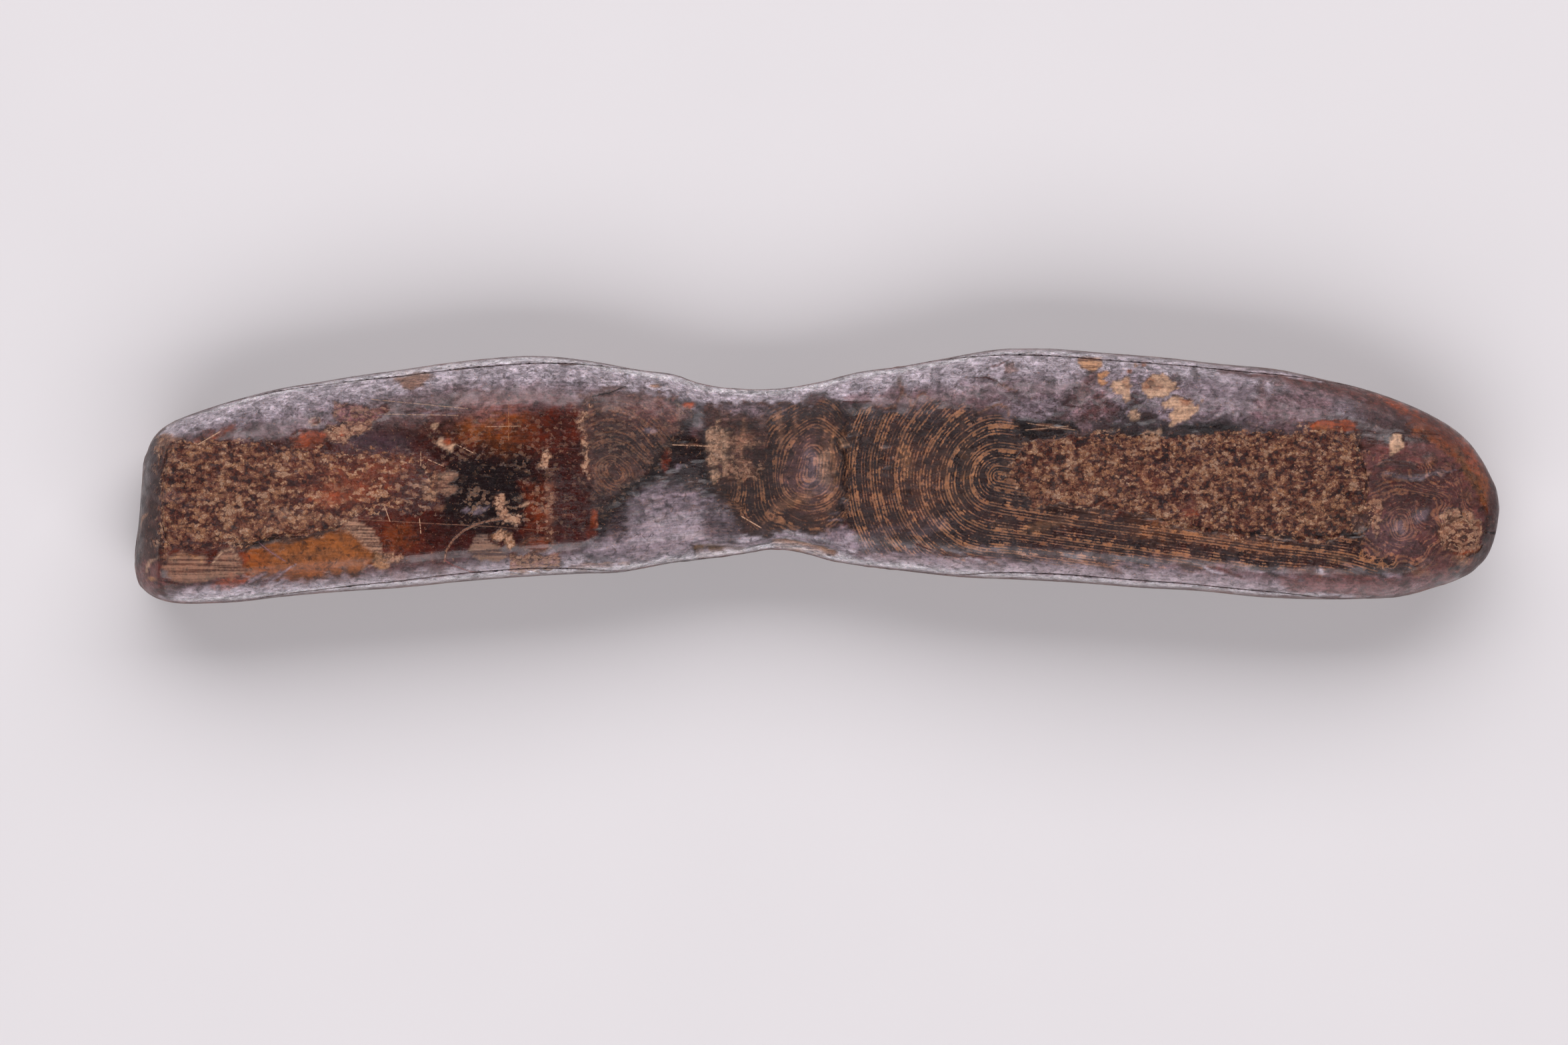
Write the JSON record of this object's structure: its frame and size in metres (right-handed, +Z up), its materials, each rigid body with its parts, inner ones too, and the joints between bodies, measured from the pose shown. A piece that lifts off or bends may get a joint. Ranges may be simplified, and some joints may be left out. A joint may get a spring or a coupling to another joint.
{
  "type": "harpoon counterweight",
  "caption": "Waisted bar carved lengthwise from a walrus tusk, squared at one end and rounded at the other, with a flat lashing seat across its waist.",
  "frame": {"origin": "bottom centre of the bounding box, on the surface that the back rests on", "axes": "+X along the bar towards its rounded tip, +Y towards its convex long edge, +Z up, out of the worked face"},
  "size_m": [0.1896, 0.0354, 0.019],
  "materials": {
    "dentine": "gloss",
    "core": "matte",
    "cementum": "gloss"
  },
  "bodies": {
    "root": {"dentine_body": "dentine", "left_core": "core", "right_core": "core", "core_nodule": "core", "left_cementum": "cementum", "right_cementum": "cementum"}
  },
  "joints": []
}
